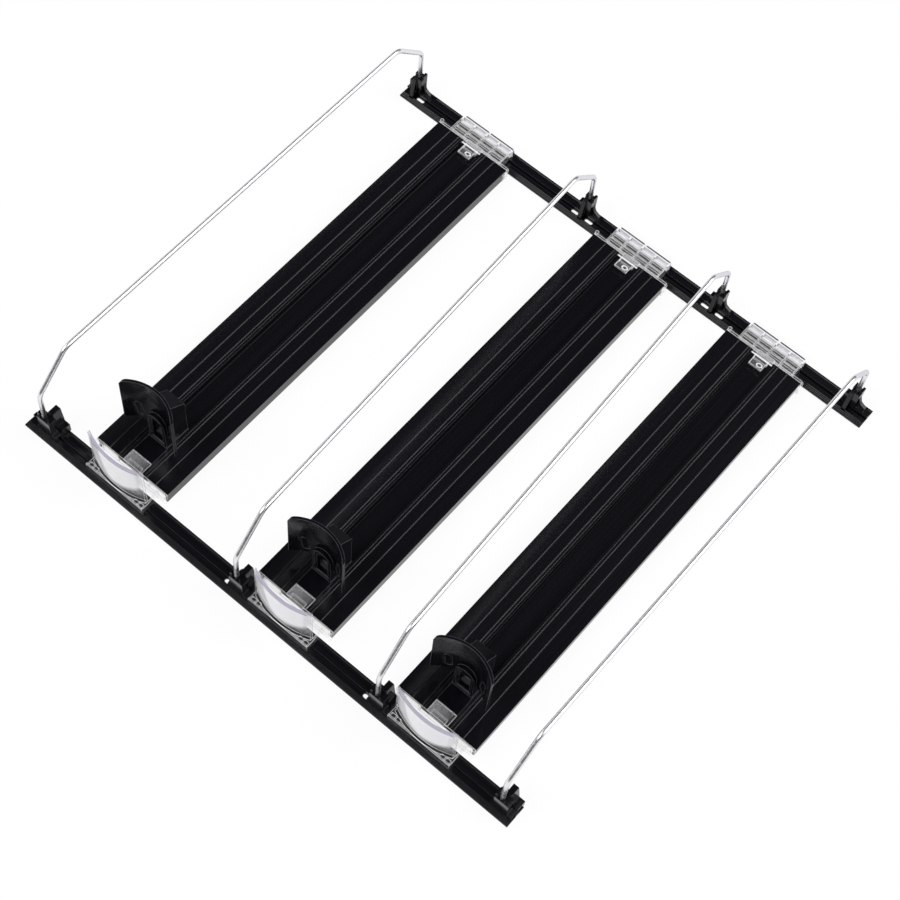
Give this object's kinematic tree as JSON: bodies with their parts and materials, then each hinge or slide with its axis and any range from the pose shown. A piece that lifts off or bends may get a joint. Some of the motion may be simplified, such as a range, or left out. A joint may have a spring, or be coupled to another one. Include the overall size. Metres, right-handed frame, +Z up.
{
  "type": "fridge can organizer",
  "caption": "Refrigerator can organizer: tracks with clear front stops and spring pushers on two rails, with wire dividers between the rows.",
  "frame": {"origin": "centre of the bounding box at the shelf", "axes": "+X along the rails to the right, +Y from the front rail to the rear rail, +Z up"},
  "size_m": [0.4478, 0.419, 0.0835],
  "materials": {
    "black_plastic": "moulded and extruded near-black plastic with a gloss",
    "clear_plastic": "clear moulded plastic with a faint violet tint at the edges",
    "wire_chrome": "bright plated round wire",
    "spring_steel": "cold-rolled spring steel strip"
  },
  "bodies": {
    "base": {"rail_front": "black_plastic", "rail_rear": "black_plastic"},
    "lane_1": {"track_1": "black_plastic", "front_stop_1": "clear_plastic", "rear_connector_1": "clear_plastic", "spring_band_1": "spring_steel"},
    "push_1": {"pusher_1": "black_plastic"},
    "roll_1": {"spring_coil_1": "spring_steel", "coil_drum_1": "black_plastic"},
    "lane_2": {"track_2": "black_plastic", "front_stop_2": "clear_plastic", "rear_connector_2": "clear_plastic", "spring_band_2": "spring_steel"},
    "push_2": {"pusher_2": "black_plastic"},
    "roll_2": {"spring_coil_2": "spring_steel", "coil_drum_2": "black_plastic"},
    "lane_3": {"track_3": "black_plastic", "front_stop_3": "clear_plastic", "rear_connector_3": "clear_plastic", "spring_band_3": "spring_steel"},
    "push_3": {"pusher_3": "black_plastic"},
    "roll_3": {"spring_coil_3": "spring_steel", "coil_drum_3": "black_plastic"},
    "divider_1": {"divider_wire_1": "wire_chrome", "front_clip_1": "black_plastic", "rear_clip_1": "black_plastic"},
    "divider_2": {"divider_wire_2": "wire_chrome", "front_clip_2": "black_plastic", "rear_clip_2": "black_plastic"},
    "divider_3": {"divider_wire_3": "wire_chrome", "front_clip_3": "black_plastic", "rear_clip_3": "black_plastic"},
    "divider_4": {"divider_wire_4": "wire_chrome", "front_clip_4": "black_plastic", "rear_clip_4": "black_plastic"}
  },
  "joints": [
    {"name": "lane_1_slide", "type": "slide", "parent": "base", "child": "lane_1", "axis": [1, 0, 0], "range_m": [-0.01, 0.03]},
    {"name": "pusher_1_slide", "type": "slide", "parent": "lane_1", "child": "push_1", "axis": [0, 1, 0], "range_m": [0, 0.31], "stiffness_N_per_m": 4, "springref_m": -0.5, "deforming": ["spring_band_1"]},
    {"name": "coil_1_spin", "type": "hinge", "parent": "push_1", "child": "roll_1", "pos_m": [-0.14042, -0.14965, 0.0163], "axis": [1, 0, 0], "range_deg": [-2120, 0]},
    {"name": "lane_2_slide", "type": "slide", "parent": "base", "child": "lane_2", "axis": [1, 0, 0], "range_m": [0, 0.012]},
    {"name": "pusher_2_slide", "type": "slide", "parent": "lane_2", "child": "push_2", "axis": [0, 1, 0], "range_m": [0, 0.31], "stiffness_N_per_m": 4, "springref_m": -0.5, "deforming": ["spring_band_2"]},
    {"name": "coil_2_spin", "type": "hinge", "parent": "push_2", "child": "roll_2", "pos_m": [0.01292, -0.14965, 0.0163], "axis": [1, 0, 0], "range_deg": [-2120, 0]},
    {"name": "lane_3_slide", "type": "slide", "parent": "base", "child": "lane_3", "axis": [1, 0, 0], "range_m": [0, 0.012]},
    {"name": "pusher_3_slide", "type": "slide", "parent": "lane_3", "child": "push_3", "axis": [0, 1, 0], "range_m": [0, 0.31], "stiffness_N_per_m": 4, "springref_m": -0.5, "deforming": ["spring_band_3"]},
    {"name": "coil_3_spin", "type": "hinge", "parent": "push_3", "child": "roll_3", "pos_m": [0.1382, -0.14965, 0.0163], "axis": [1, 0, 0], "range_deg": [-2120, 0]},
    {"name": "divider_1_slide", "type": "slide", "parent": "base", "child": "divider_1", "axis": [1, 0, 0], "range_m": [0, 0.01]},
    {"name": "divider_2_slide", "type": "slide", "parent": "base", "child": "divider_2", "axis": [1, 0, 0], "range_m": [-0.025, 0]},
    {"name": "divider_3_slide", "type": "slide", "parent": "base", "child": "divider_3", "axis": [1, 0, 0], "range_m": [-0.012, 0]},
    {"name": "divider_4_slide", "type": "slide", "parent": "base", "child": "divider_4", "axis": [1, 0, 0], "range_m": [-0.012, 0]}
  ],
  "couplings": [
    {"joint": "coil_1_spin", "follows": "pusher_1_slide", "rad_per_m": -119.05},
    {"joint": "coil_2_spin", "follows": "pusher_2_slide", "rad_per_m": -119.05},
    {"joint": "coil_3_spin", "follows": "pusher_3_slide", "rad_per_m": -119.05}
  ]
}
